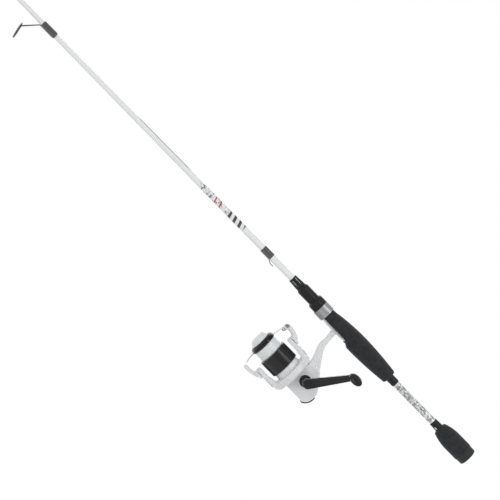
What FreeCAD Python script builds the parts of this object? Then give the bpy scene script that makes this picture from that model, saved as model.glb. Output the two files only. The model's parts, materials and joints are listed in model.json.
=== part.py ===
"""Spinning rod and reel: a two-piece rod with a fixed-spool reel clamped in its seat.

The origin is the centre of the butt end.  +X runs along the rod to the tip, +Z is up,
the reel hangs below the rod (-Z) and its handle is on the +Y side.  Millimetres.
"""
import FreeCAD
import Part
import Sketcher
import math
import os
import re

os.makedirs("parts", exist_ok=True)
doc = FreeCAD.newDocument("spinning_rod_and_reel")
Vec = FreeCAD.Vector

# ---------------------------------------------------------------- driving dimensions
DIMENSIONS = [
    # rod blanks
    ("rod_length", 1829.0), ("butt_length", 935.0), ("blank_radius", 4.9), ("blank_wall", 1.0),
    ("taper_start", 345.0), ("ferrule_radius", 3.05), ("ferrule_lap", 55.0), ("ferrule_wall", 0.8),
    ("tip_radius", 0.9), ("tip_wall", 0.55),
    # fits
    ("glue_gap", 0.02), ("run_gap", 0.05), ("free_gap", 0.3),
    # butt end
    ("cap_length", 10.0), ("cap_floor", 3.0), ("cap_radius", 12.8),
    ("butt_grip_length", 44.6), ("butt_grip_radius", 13.4), ("butt_grip_neck", 8.8),
    ("butt_check_length", 13.0), ("check_radius", 5.6), ("check_window", 4.0),
    # rear grip and reel seat
    ("collar_start", 137.7), ("collar_length", 12.3),
    ("seat_grip_start", 150.0), ("seat_grip_end", 266.0), ("seat_grip_radius", 13.6),
    ("seat_radius", 7.6), ("thread_radius", 7.0), ("thread_depth", 0.5), ("thread_pitch", 1.5),
    ("thread_end", 312.0), ("cradle_drop", 7.1), ("cradle_start", 227.0),
    ("hood_start", 266.5), ("hood_length", 13.5), ("hood_radius", 10.9), ("hood_bulge", 8.8),
    ("hood_bulge_drop", 3.4), ("nut_length", 34.6), ("nut_flange_length", 12.5), ("nut_radius", 8.3),
    ("tail_length", 18.2), ("tail_radius", 5.7),
    # hook keeper and guides
    ("keeper_start", 371.5), ("keeper_length", 16.5), ("wrap_height", 0.55), ("keeper_wire", 0.5),
    ("stripper_start", 772.6), ("stripper_wrap", 23.4), ("stripper_drop", 29.4),
    ("stripper_radius", 11.8), ("guide_lean", 13.0), ("guide_wire", 0.75), ("guide_foot", 0.9),
    ("ring_wall", 1.7), ("ring_width", 2.4), ("tip_ring_bore", 2.4), ("tip_top_length", 9.0),
    # reel body
    ("spool_drop", 86.8), ("handle_x", 226.0), ("handle_rise", 5.0), ("body_half", 10.5),
    ("body_front", 238.6), ("flange_front", 246.5), ("flange_radius", 21.4), ("body_wall", 1.7),
    ("stem_half", 3.75), ("foot_half", 4.5), ("foot_start", 212.0), ("foot_length", 61.0),
    ("foot_thick", 3.6), ("toe_thick", 2.2), ("bearing_seat", 12.4),
    ("boss_radius", 7.5), ("screw_radius", 0.8), ("bearing_outer", 6.0),
    # gear train
    ("gear_module", 0.8), ("pinion_teeth", 8), ("gear_teeth", 35), ("face_width", 3.0),
    ("gear_web", 2.8), ("drive_shaft_radius", 2.75), ("bearing_width", 2.2),
    ("bearing_wall", 2.4), ("osc_module", 0.7), ("osc_pinion_teeth", 12), ("osc_gear_teeth", 24),
    ("osc_back", 11.0), ("osc_width", 2.6), ("crank_pin_arm", 4.0), ("slider_half", 2.1),
    ("main_shaft_radius", 1.75), ("pinion_radius", 3.0),
    # rotor and bail
    ("rotor_rear", 239.0), ("rotor_web", 249.0), ("rotor_radius", 24.7), ("rotor_wall", 2.2),
    ("cup_radius", 18.1), ("cup_front", 268.0), ("arm_radius", 31.0), ("arm_inner", 25.4),
    ("arm_half", 7.0), ("bail_x", 273.0), ("bail_pin_radius", 2.0), ("bail_reach", 20.0),
    ("bail_wire_radius", 0.8), ("bail_loop", 35.0), ("bail_hub", 3.0), ("roller_radius", 3.3),
    ("roller_length", 4.2), ("roller_rise", 38.4), ("roller_side", 6.0), ("bail_tube", 3.2),
    # spool and drag
    ("spool_rear", 257.4), ("skirt_front", 281.5), ("spool_front", 302.9), ("skirt_radius", 20.4),
    ("skirt_wall", 1.1), ("lip_start", 296.4), ("lip_radius", 18.5), ("arbor_radius", 11.0),
    ("line_radius", 17.4), ("drag_pocket", 9.3), ("knob_front", 309.6), ("knob_radius", 14.2),
    # handle
    ("shank_radius", 5.0), ("hub_radius", 8.2), ("crank_plane", 45.0), ("crank_rise", 11.0),
    ("crank_radius", 58.7), ("crank_angle", 125.0), ("crank_width", 9.0), ("crank_thick", 5.0),
    ("fold_offset", 11.0), ("knob_length", 30.0), ("knob_wide", 20.0), ("knob_thick", 14.0), ("knob_turn",
                                                                                              35.0),
    ("spindle_radius", 1.5),
]
sheet = doc.addObject("Spreadsheet::Sheet", "Dims")
for row_number, (alias, value) in enumerate(DIMENSIONS, start=1):
    sheet.set(f"A{row_number}", alias)
    sheet.set(f"B{row_number}", str(value))
    sheet.setAlias(f"B{row_number}", alias)
doc.recompute()
ALIASES = {alias for alias, value in DIMENSIONS}


def val(expression):
    """The number that an expression of the sheet's names gives."""
    return float(sheet.evalExpression(str(expression)))


def bound(expression):
    """The same expression, as another object of the document writes it."""
    return re.sub(r"[A-Za-z_]\w*", lambda m: "Dims." + m.group() if m.group() in ALIASES else m.group(),
                  str(expression))


SUBPARTS = []


def keep(thing, label):
    """Name a finished sub-part; its label is its file's name."""
    thing.Label = label
    SUBPARTS.append(thing)
    return thing


# ---------------------------------------------------------------- construction helpers
def place(thing, at, rotation=None):
    """Put an object at an (x, y, z) of expressions, turned by a fixed rotation."""
    x, y, z = (val(part) for part in at)
    thing.Placement = FreeCAD.Placement(Vec(x, y, z), rotation or FreeCAD.Rotation())
    for letter, part in zip("xyz", at):
        thing.setExpression(f".Placement.Base.{letter}", bound(part))
    return thing


ALONG = {"X": FreeCAD.Rotation(Vec(0, 0, 1), Vec(1, 0, 0)),
         "Y": FreeCAD.Rotation(Vec(0, 0, 1), Vec(0, 1, 0)),
         "Z": FreeCAD.Rotation()}


def sketch_on(body, role, outline):
    """A closed sketch on one of the body's own planes.

    Each point is (x, y), or (x, y, radius) where an arc arrives at it; the radius is
    positive when the arc bulges to the left of the way the outline runs.
    """
    sketch = body.newObject("Sketcher::SketchObject", "Outline")
    plane = [feature for feature in body.Origin.OriginFeatures if feature.Role == role][0]
    sketch.AttachmentSupport = [(plane, "")]
    sketch.MapMode = "FlatFace"
    spots = [Vec(val(point[0]), val(point[1]), 0) for point in outline]
    count = len(outline)
    arcs = []
    for index in range(count):
        start = spots[index]
        end = spots[(index + 1) % count]
        arrival = outline[(index + 1) % count]
        if len(arrival) == 2:
            sketch.addGeometry(Part.LineSegment(start, end))
            continue
        radius = val(arrival[2])
        chord = end - start
        side = Vec(-chord.y, chord.x, 0).normalize() * math.copysign(1, radius)
        sagitta = abs(radius) - math.sqrt(radius ** 2 - chord.Length ** 2 / 4)
        sketch.addGeometry(Part.Arc(start, (start + end) / 2 + side * sagitta, end))
        arcs.append((index, arrival[2]))
    for index in range(count):
        ends = []
        for geometry, spot in ((index, spots[(index + 1) % count]),
                               ((index + 1) % count, spots[(index + 1) % count])):
            near_start = (sketch.getPoint(geometry, 1) - spot).Length < 1e-6
            ends += [geometry, 1 if near_start else 2]
        sketch.addConstraint(Sketcher.Constraint("Coincident", *ends))
    for index, point in enumerate(outline):
        which = 1 if (sketch.getPoint(index, 1) - spots[index]).Length < 1e-6 else 2
        for kind, part in (("DistanceX", point[0]), ("DistanceY", point[1])):
            number = sketch.addConstraint(Sketcher.Constraint(kind, -1, 1, index, which, val(part)))
            sketch.setExpression(f"Constraints[{number}]", bound(part))
    for index, radius in arcs:
        number = sketch.addConstraint(Sketcher.Constraint("Radius", index, abs(val(radius))))
        sketch.setExpression(f"Constraints[{number}]", f"abs({bound(radius)})")
    return sketch


def new_body(label, at=("0", "0", "0")):
    body = doc.addObject("PartDesign::Body", label)
    return place(body, at)


def revolve(body, outline, axis="X", cutting=False):
    """Turn an outline of (along, radius) points about the body's X, Y or Z axis."""
    role, line = {"X": ("XZ_Plane", "H_Axis"), "Y": ("YZ_Plane", "H_Axis"),
                  "Z": ("XZ_Plane", "V_Axis")}[axis]
    if axis == "Z":
        outline = [(point[1], point[0]) + tuple(point[2:]) for point in outline]
    sketch = sketch_on(body, role, outline)
    feature = body.newObject("PartDesign::Groove" if cutting else "PartDesign::Revolution", "Turned")
    feature.Profile = sketch
    feature.ReferenceAxis = (sketch, [line])
    feature.Angle = 360
    return feature


def turned(label, outline, at=("0", "0", "0"), axis="X"):
    """A sub-part that is one solid of revolution."""
    body = new_body(label, at)
    revolve(body, outline, axis)
    return body


def pad(body, role, outline, length, reverse=False, both=False, cutting=False):
    """Pad or pocket an outline from a plane of the body, to one side or to both."""
    sketch = sketch_on(body, role, outline)
    feature = body.newObject("PartDesign::Pocket" if cutting else "PartDesign::Pad", "Slab")
    feature.Profile = sketch
    feature.SideType = "Symmetric" if both else "One side"
    feature.Reversed = reverse
    feature.setExpression("Length", bound(length))
    return feature


def tube(outer, inner, start, end):
    """The outline of a plain tube about the X axis."""
    return [(start, inner), (start, outer), (end, outer), (end, inner)]


def cylinder(radius, length, at, axis="X"):
    rod = doc.addObject("Part::Cylinder", "Round")
    rod.setExpression("Radius", bound(radius))
    rod.setExpression("Height", bound(length))
    return place(rod, at, ALONG[axis])


def block(low, size):
    """A box from its low corner and its size, each three expressions."""
    box = doc.addObject("Part::Box", "Block")
    for name, part in zip(("Length", "Width", "Height"), size):
        box.setExpression(name, bound(part))
    return place(box, low)


def combined(kind, base, tools):
    """A Part boolean: Cut, MultiFuse or MultiCommon of a base and its tools."""
    if kind == "Cut":
        tool = tools[0]
        if len(tools) > 1:
            tool = doc.addObject("Part::MultiFuse", "Tools")
            tool.Shapes = tools
        result = doc.addObject("Part::Cut", "Cut")
        result.Base = base
        result.Tool = tool
        return result
    result = doc.addObject("Part::" + kind, kind)
    result.Shapes = [base] + tools
    return result


def group(label, things):
    """Several separate solids of one kind in one node."""
    result = doc.addObject("Part::Compound", label)
    result.Links = things
    return keep(result, label)


def feature(label, shape):
    """A sub-part whose shape is worked out from the sheet by its own function."""
    thing = doc.addObject("Part::Feature", label)
    thing.Shape = shape
    return keep(thing, label)


def swept(points, radius):
    """A round bar along an arc through three points."""
    start, middle, end = points
    path = Part.Wire([Part.Arc(start, middle, end).toShape()])
    tangent = path.Edges[0].tangentAt(path.Edges[0].FirstParameter)
    section = Part.Wire([Part.Circle(start, tangent, radius).toShape()])
    return path.makePipeShell([section], True, True)


def bar(start, end, radius, end_radius=None):
    """A straight round bar, or a cone, from one point to another."""
    way = end - start
    if end_radius is None or abs(end_radius - radius) < 1e-9:
        return Part.makeCylinder(radius, way.Length, start, way)
    return Part.makeCone(radius, end_radius, way.Length, start, way)


# ---------------------------------------------------------------- rod: butt section
def blank_radius_at(along):
    """Outer radius of the butt blank past its straight part, as an expression."""
    return (f"(blank_radius + (ferrule_radius - blank_radius) * ({along} - taper_start)"
            " / (butt_length - taper_start))")


keep(turned("butt_blank", [
    ("cap_floor", "blank_radius - blank_wall"), ("cap_floor", "blank_radius"), ("taper_start",
                                                                                "blank_radius"),
    ("butt_length", "ferrule_radius"), ("butt_length", "ferrule_radius - blank_wall"),
    ("taper_start", "blank_radius - blank_wall")]), "butt_blank")

keep(turned("butt_cap", [
    ("0", "0"), ("0", "cap_radius - 2"), ("1.6", "cap_radius - 0.35", "2.2"), ("cap_length", "cap_radius"),
    ("cap_length", "blank_radius + glue_gap"), ("cap_floor", "blank_radius + glue_gap"),
    ("cap_floor", "0")]), "butt_cap")

GRIP_END = "cap_length + butt_grip_length"
keep(turned("butt_grip", [
    ("cap_length", "blank_radius + glue_gap"), ("cap_length", "butt_grip_radius - 0.6"),
    ("cap_length + 0.6", "butt_grip_radius", "0.6"),
    (f"{GRIP_END} - 22", "butt_grip_radius"), (f"{GRIP_END} - 2.4", "butt_grip_neck + 1", "70"),
    (GRIP_END, "butt_grip_neck - 1.6", "2.8"), (GRIP_END, "blank_radius + glue_gap")]), "butt_grip")

CHECK_END = f"{GRIP_END} + butt_check_length"
check = turned("butt_check_ring", [
    (GRIP_END, "blank_radius + glue_gap"), (GRIP_END, "check_radius + 0.5"),
    (f"{GRIP_END} + 1.4", "check_radius + 0.3"), (f"{CHECK_END} - 1", "check_radius - 0.1"),
    (CHECK_END, "check_radius - 0.4"), (CHECK_END, "blank_radius + glue_gap")])
window = block((f"{GRIP_END} + 2", "0", "-check_radius"), ("check_window", "check_radius + 2", "2.6"))
keep(combined("Cut", check, [window]), "butt_check")

COLLAR_END = "collar_start + collar_length"
keep(turned("rear_collar", [
    ("collar_start", "blank_radius + glue_gap"), ("collar_start", "check_radius - 0.3"),
    ("collar_start + 1.2", "check_radius + 0.1"), (COLLAR_END, "check_radius + 0.3"),
    (COLLAR_END, "blank_radius + glue_gap")]), "rear_collar")


# ---------------------------------------------------------------- rod: grip and reel seat
# The seat tube carries the fixed rear hood (inside the grip), the flat cradle under the
# reel foot and the thread for the nut.
FOOT_END = "foot_start + foot_length"
TOE_HALF = "foot_half + free_gap"


def make_seat_tube():
    seat = new_body("seat_tube_body")
    outline = [("seat_grip_start", "blank_radius + glue_gap"), ("seat_grip_start", "seat_radius"),
               ("foot_start - 6", "seat_radius"), ("foot_start - 5", "hood_radius"),
               ("cradle_start - 1", "hood_radius"), ("cradle_start - 0.6", "seat_radius"),
               ("hood_start + hood_length - 1.6", "seat_radius"),
               ("hood_start + hood_length - 1", "thread_radius - thread_depth")]
    turns = int((val("thread_end") - val("hood_start + hood_length") - 2) / val("thread_pitch"))
    for turn in range(turns):
        start = f"hood_start + hood_length + 1 + {turn} * thread_pitch"
        outline += [(start, "thread_radius - thread_depth"),
                    (f"{start} + thread_pitch * 0.35", "thread_radius"),
                    (f"{start} + thread_pitch * 0.65", "thread_radius")]
    outline += [("thread_end", "thread_radius - thread_depth"), ("thread_end", "blank_radius + glue_gap")]
    revolve(seat, outline)
    flat = block(("cradle_start - 0.6", "-seat_radius", "-seat_radius - 6"),
                 ("hood_start + hood_length - cradle_start + 0.6", "2 * seat_radius",
                  "seat_radius + 6 - cradle_drop"))
    pocket = block(("foot_start - free_gap", f"-({TOE_HALF})", "-cradle_drop - toe_thick - free_gap"),
                   ("cradle_start - foot_start", f"2 * ({TOE_HALF})", "toe_thick + free_gap"))
    return combined("Cut", seat, [flat, pocket])


keep(make_seat_tube(), "seat_tube")


def make_seat_grip():
    grip = new_body("seat_grip_body")
    revolve(grip, [
        ("seat_grip_start", "seat_radius + glue_gap"), ("seat_grip_start", "seat_radius + 0.9"),
        ("seat_grip_start + 1.4", "9.8", "1.6"),
        ("foot_start - 5", "seat_grip_radius", "520"),
        ("seat_grip_end - 9", "10.1", "330"), ("seat_grip_end - 8.4", "9.7"),
        ("seat_grip_end - 0.8", "9.2"), ("seat_grip_end", "8.5"), ("seat_grip_end",
                                                                   "seat_radius + glue_gap"),
        ("cradle_start - 0.6", "seat_radius + glue_gap"), ("cradle_start - 1", "hood_radius + glue_gap"),
        ("foot_start - 5", "hood_radius + glue_gap"), ("foot_start - 6", "seat_radius + glue_gap")])
    pad(grip, "XZ_Plane", [
        ("cradle_start - 9", "-seat_grip_radius - 2"), ("cradle_start - 9", "-seat_grip_radius + 0.8"),
        ("cradle_start", "-cradle_drop"), ("seat_grip_end + 1", "-cradle_drop"),
        ("seat_grip_end + 1", "-seat_grip_radius - 2")], "60", both=True, cutting=True)
    toe = block(("foot_start - free_gap", f"-({TOE_HALF})", "-cradle_drop - toe_thick - free_gap"),
                ("cradle_start - foot_start + 8", f"2 * ({TOE_HALF})", "toe_thick + free_gap"))
    return combined("Cut", grip, [toe])


keep(make_seat_grip(), "seat_grip")

HOOD_END = "hood_start + hood_length"


def make_hood():
    ring = cylinder("hood_radius", "hood_length", ("hood_start", "0", "0"))
    bulge = cylinder("hood_bulge", "hood_length", ("hood_start", "0", "-hood_bulge_drop"))
    bore = cylinder("seat_radius + free_gap / 2", "hood_length", ("hood_start", "0", "0"))
    toe_length = f"{FOOT_END} - hood_start + free_gap"
    pocket = block(("hood_start", f"-({TOE_HALF})", "-cradle_drop - toe_thick - free_gap"),
                   (toe_length, f"2 * ({TOE_HALF})", "toe_thick + free_gap + 1"))
    return combined("Cut", combined("MultiFuse", ring, [bulge]), [bore, pocket])


keep(make_hood(), "seat_hood")

NUT_START = f"{HOOD_END} + free_gap / 3"
NUT_END = f"{HOOD_END} + nut_length"
FLANGE_END = f"{HOOD_END} + nut_flange_length"
nut_body = turned("nut_body", [
    (NUT_START, "thread_radius + run_gap"), (NUT_START, "hood_radius - 0.1"),
    (f"{FLANGE_END} - 3.4", "hood_radius - 0.2"), (f"{FLANGE_END} - 0.6", "nut_radius + 0.9", "4.5"),
    (FLANGE_END, "nut_radius"), (f"{NUT_END} - 1.2", "nut_radius"), (NUT_END, "nut_radius - 1"),
    (NUT_END, "blank_radius + free_gap"), ("thread_end + 1", "blank_radius + free_gap"),
    ("thread_end + 0.5", "thread_radius + run_gap")])
flutes = [cylinder("1.1", "nut_flange_length - 5", (NUT_START + " + 1.2", "0", "0")) for _ in range(12)]
for number, flute in enumerate(flutes):
    flute.setExpression(".Placement.Base.y",
                        bound(f"(hood_radius + 0.55) * {math.sin(math.tau * number / 12):.6f}"))
    flute.setExpression(".Placement.Base.z",
                        bound(f"(hood_radius + 0.55) * {math.cos(math.tau * number / 12):.6f}"))
keep(combined("Cut", nut_body, flutes), "seat_nut")

TAIL_END = f"{NUT_END} + tail_length"
tail = turned("tail_body", [
    (NUT_END, "blank_radius + free_gap"), (NUT_END, "nut_radius - 1"), (f"{NUT_END} + 5",
                                                                        "tail_radius + 0.9", "-9"),
    (TAIL_END, "tail_radius"), (TAIL_END, "blank_radius + free_gap")])
slots = [block((f"{NUT_END} + 5.5", "-9", f"{level}"),
               ("tail_length - 7.5", "18", "1.2")) for level in ("-3.6", "2.4")]
keep(combined("Cut", tail, slots), "nut_tail")


# ---------------------------------------------------------------- rod: keeper and guides
def wrap_outline(start, length, radius_of):
    """Thread wound over a guide foot: a thin sleeve with rounded ends on the blank."""
    return [(start, f"{radius_of(start)} + glue_gap"), (start, f"{radius_of(start)} + wrap_height * 0.4"),
            (f"{start} + 1", f"{radius_of(start + ' + 1')} + wrap_height"),
            (f"{start} + {length} - 1", f"{radius_of(start + ' + ' + length + ' - 1')} + wrap_height"),
            (f"{start} + {length}", f"{radius_of(start + ' + ' + length)} + wrap_height * 0.4"),
            (f"{start} + {length}", f"{radius_of(start + ' + ' + length)} + glue_gap")]


keep(turned("keeper_wrap", wrap_outline("keeper_start", "keeper_length", blank_radius_at)), "keeper_wrap")


def make_keeper():
    """A thin wire loop that leaves the wrap's butt end and hangs under the blank."""
    wire = val("keeper_wire")
    reach = val(blank_radius_at("keeper_start"))
    root = Vec(val("keeper_start") - 0.1, 0, -reach - wire - 0.05)
    low = root + Vec(-5, 0, -2.2)
    nose = low + Vec(-4.4, 0, 0.2)
    legs = []
    for side in (-1, 1):
        spread = Vec(0, side * 1.5, 0)
        legs.append(swept([root + spread, root + spread + Vec(-2.6, 0, -0.9), low + spread], wire))
    legs.append(swept([low + Vec(0, -1.5, 0), nose, low + Vec(0, 1.5, 0)], wire))
    return legs[0].fuse(legs[1:]).removeSplitter()


feature("hook_keeper", make_keeper())

LEAN = math.radians(val("guide_lean"))


def guide_points(wrap_end, drop, blank_r):
    """Foot end, ring centre and ring axis of a single-foot guide under the blank."""
    foot = Vec(wrap_end + 0.4, 0, -blank_r - 0.6)
    centre = Vec(wrap_end + 0.558 * drop, 0, -drop)
    axis = Vec(math.cos(LEAN), 0, -math.sin(LEAN))
    return foot, centre, axis


def guide_frame(wrap_start, wrap_end, drop, ring_r, blank_r):
    """Foot under the wrap, two legs and the frame ring that grips the insert."""
    wire = val("guide_wire") * (0.6 + 0.4 * ring_r / val("stripper_radius"))
    foot, centre, axis = guide_points(wrap_end, drop, blank_r)
    hoop = Part.makeTorus(ring_r - wire, wire, centre, axis)
    down = Vec(-math.sin(LEAN), 0, -math.cos(LEAN))
    solids = [hoop]
    for side in (-1, 1):
        grip = centre - down * (ring_r - wire) * 0.6 + Vec(0, side * (ring_r - wire) * 0.8, 0)
        knee = foot + Vec(1.2, side * 0.9, -0.4)
        solids.append(bar(foot + Vec(0, side * 0.7, 0), knee, wire))
        solids.append(Part.makeSphere(wire, knee))
        solids.append(bar(knee, grip, wire))
        solids.append(Part.makeSphere(wire, foot + Vec(0, side * 0.7, 0)))
    thick = val("guide_foot")
    plate = Part.makeBox(wrap_end + 1.2 - wrap_start - 2, 2.4, thick,
                         Vec(wrap_start + 2, -1.2, -blank_r - thick - 0.05))
    frame = solids[0].fuse(solids[1:] + [plate])
    seat = Part.makeCylinder(ring_r - 2 * wire, 6, centre - axis * 3, axis)
    return max(frame.cut(seat).Solids, key=lambda solid: solid.Volume)


def guide_ring(drop, ring_r, blank_r, wrap_end):
    """The polished ceramic insert, rounded towards the line."""
    wire = val("guide_wire") * (0.6 + 0.4 * ring_r / val("stripper_radius"))
    foot, centre, axis = guide_points(wrap_end, drop, blank_r)
    scale = 0.55 + 0.45 * ring_r / val("stripper_radius")
    outer = ring_r - 2 * wire
    inner = outer - val("ring_wall") * scale
    half = val("ring_width") * scale / 2
    blank = Part.makeCylinder(outer, 2 * half, centre - axis * half, axis)
    hole = Part.makeCylinder(inner, 4 * half, centre - axis * 2 * half, axis)
    ring = blank.cut(hole)
    edges = [edge for edge in ring.Edges if isinstance(edge.Curve,
                                                       Part.Circle) and abs(edge.Curve.Radius - inner) < 1e-3]
    return ring.makeFillet(min(half, outer - inner) * 0.6, edges)


STRIPPER_END = val("stripper_start + stripper_wrap")


def foot_wrap(wrap_start, wrap_end, radius_of):
    """The thread over one guide foot, with the foot's own space left in it."""
    low = radius_of(wrap_start) + val("glue_gap")
    high = radius_of(wrap_end) + val("glue_gap")
    rise = val("guide_foot") + 0.45
    points = [Vec(wrap_start, 0, low), Vec(wrap_start, 0, low + rise * 0.4),
              Vec(wrap_start + 2, 0, low + rise),
              Vec(wrap_end - 1.2, 0, high + rise), Vec(wrap_end, 0, high + rise * 0.4), Vec(wrap_end, 0,
                                                                                            high)]
    face = Part.Face(Part.makePolygon(points + points[:1]))
    sleeve = face.revolve(Vec(), Vec(1, 0, 0), 360)
    thick = val("guide_foot") + 0.1
    blank_r = radius_of(wrap_end)
    groove = Part.makeBox(wrap_end - wrap_start, 2.44, thick + 0.7,
                          Vec(wrap_start + 1.98, -1.22, -blank_r - thick - 0.05))
    return sleeve.cut(groove)


def butt_radius(along):
    return val(blank_radius_at(str(along)))


feature("stripper_frame",
        guide_frame(val("stripper_start"), STRIPPER_END, val("stripper_drop"), val("stripper_radius"),
                                      butt_radius(val("stripper_start"))))
feature("stripper_ring",
        guide_ring(val("stripper_drop"), val("stripper_radius"), butt_radius(val("stripper_start")),
                                    STRIPPER_END))
feature("stripper_wrap", foot_wrap(val("stripper_start"), STRIPPER_END, butt_radius))

# ---------------------------------------------------------------- rod: tip section
LAP_START = "butt_length - ferrule_lap"
LAP_RADIUS = f"{blank_radius_at('(' + LAP_START + ')')} + run_gap"
SOCKET_END = "butt_length + 4"
keep(turned("tip_blank", [
    (LAP_START, LAP_RADIUS), (LAP_START, f"{LAP_RADIUS} + ferrule_wall"),
    ("butt_length + 10", "ferrule_radius + run_gap + ferrule_wall"),
    ("rod_length - tip_top_length + 5", "tip_radius"), ("rod_length - tip_top_length + 5", "0"),
    ("rod_length - 60", "0"), ("rod_length - 62", "0.35"),
    (SOCKET_END, "ferrule_radius + run_gap"), ("butt_length", "ferrule_radius + run_gap")]), "tip_blank")


def tip_radius_at(along):
    low = val("ferrule_radius + run_gap + ferrule_wall")
    share = (along - val("butt_length + 10")) / (val("rod_length - tip_top_length + 5") - val("butt_length + 10"))
    if share < 0:
        start = val(f"{LAP_RADIUS} + ferrule_wall")
        back = (along - val(LAP_START)) / (val("butt_length + 10") - val(LAP_START))
        return start + (low - start) * back
    return low + (val("tip_radius") - low) * share


def plain_wrap(start, length, radius_of, rise):
    low = radius_of(start) + val("glue_gap")
    high = radius_of(start + length) + val("glue_gap")
    points = [Vec(start, 0, low), Vec(start, 0, low + rise * 0.5), Vec(start + 1, 0, low + rise),
              Vec(start + length - 1, 0, high + rise), Vec(start + length, 0, high + rise * 0.5),
              Vec(start + length, 0, high)]
    return Part.Face(Part.makePolygon(points + points[:1])).revolve(Vec(), Vec(1, 0, 0), 360)


feature("ferrule_wrap", plain_wrap(val(LAP_START) + 0.5, 14, tip_radius_at, val("wrap_height")))

# distance of each guide from the tip, ring radius, drop of the ring centre
TIP_GUIDES = [(755, 8.2, 20.5), (560, 6.6, 16.0), (390, 5.8, 13.2), (240, 5.2, 11.4), (110, 4.9, 10.4)]
rings = []
wraps = []
for number, (from_tip, ring_r, drop) in enumerate(TIP_GUIDES, start=2):
    wrap_end = val("rod_length") - from_tip
    wrap_start = wrap_end - 14 - ring_r
    near = tip_radius_at(wrap_start)
    feature(f"guide_{number}_frame", guide_frame(wrap_start, wrap_end, drop, ring_r, near))
    rings.append(guide_ring(drop, ring_r, near, wrap_end))
    wraps.append(foot_wrap(wrap_start, wrap_end, tip_radius_at))
feature("tip_guide_rings", Part.makeCompound(rings))
feature("tip_guide_wraps", Part.makeCompound(wraps))


def make_tip_top():
    """A short tube over the tip with a ring held in front of and below it."""
    sleeve_r = val("tip_radius") + 0.45
    start = val("rod_length - tip_top_length - 3")
    bore = val("tip_ring_bore")
    centre = Vec(val("rod_length") - 1.2, 0, -bore - 2.6)
    sleeve = bar(Vec(start, 0, 0), Vec(val("rod_length - tip_top_length + 6"), 0, 0), sleeve_r)
    inside = bar(Vec(start - 1, 0, 0), Vec(val("rod_length - tip_top_length + 5.02"), 0, 0),
                 val("tip_radius") + 0.02
                 + 0.12)
    sleeve = sleeve.cut(inside)
    hoop = Part.makeCylinder(bore + 2.2, 1.2, centre - Vec(0.6, 0, 0), Vec(1, 0, 0))
    parts = [hoop]
    for side in (-1, 1):
        grip = centre + Vec(0, side * (bore + 1.7) * 0.86, (bore + 1.7) * 0.5)
        root = Vec(val("rod_length - tip_top_length + 5.6"), side * 0.5, 0)
        parts.append(bar(root, grip, 0.5))
    brace = bar(Vec(start + 3, 0, -sleeve_r + 0.1), centre + Vec(0, 0, -(bore + 1.7)), 0.5)
    seat = Part.makeCylinder(bore + 1.15, 6, centre - Vec(3, 0, 0), Vec(1, 0, 0))
    return sleeve.fuse(parts + [brace]).cut(seat).removeSplitter(), centre


tip_top, TIP_CENTRE = make_tip_top()
feature("tip_top", tip_top)
tip_bore = val("tip_ring_bore")
insert = Part.makeCylinder(tip_bore + 1.15, 1.8, TIP_CENTRE - Vec(0.9, 0, 0), Vec(1, 0, 0))
feature("tip_top_ring", insert.cut(Part.makeCylinder(tip_bore, 4, TIP_CENTRE - Vec(2, 0, 0), Vec(1, 0, 0))))

# ---------------------------------------------------------------- reel: body
SPOOL_LINE = ("0", "0", "-spool_drop")
HANDLE_LINE = ("handle_x", "0", "handle_rise - spool_drop")
FOOT_TOP = "spool_drop - cradle_drop - run_gap"
# where the three cover screws stand, from the spool's axis: clear of the big gear's rim
COVER_SCREWS = [("body_front - 2.3", "-13.2"), ("body_front - 31.8", "-12.2"), ("body_front - 3.6", "23.7")]


def gearbox_outline(inset="0"):
    """The side view of the gearbox, or of the room inside it."""
    front = "body_front" if inset == "0" else "body_front - 1.8"
    outline = [("body_front", f"-16.8 + {inset}"), (f"body_front - 29.4", f"-17.2 + {inset}"),
               (f"body_front - 36.8 + {inset}", "-2", f"14 - {inset}"), (f"body_front - 37 + {inset}",
                                                                         "2.4"),
               (f"body_front - 34.6 + {inset}", "7"), (f"body_front - 18.6 + {inset}", f"27 - {inset}"),
               (front, f"27 - {inset}")]
    if inset != "0":
        outline += [(front, "20.2"), ("body_front", "20.2")]
    return outline


def post(x_place, z_place, radius, low, high):
    """A round post across the gearbox (along Y), placed from the spool's axis."""
    return cylinder(radius, f"({high}) - ({low})", (x_place, low, f"{z_place} - spool_drop"), "Y")


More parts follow.
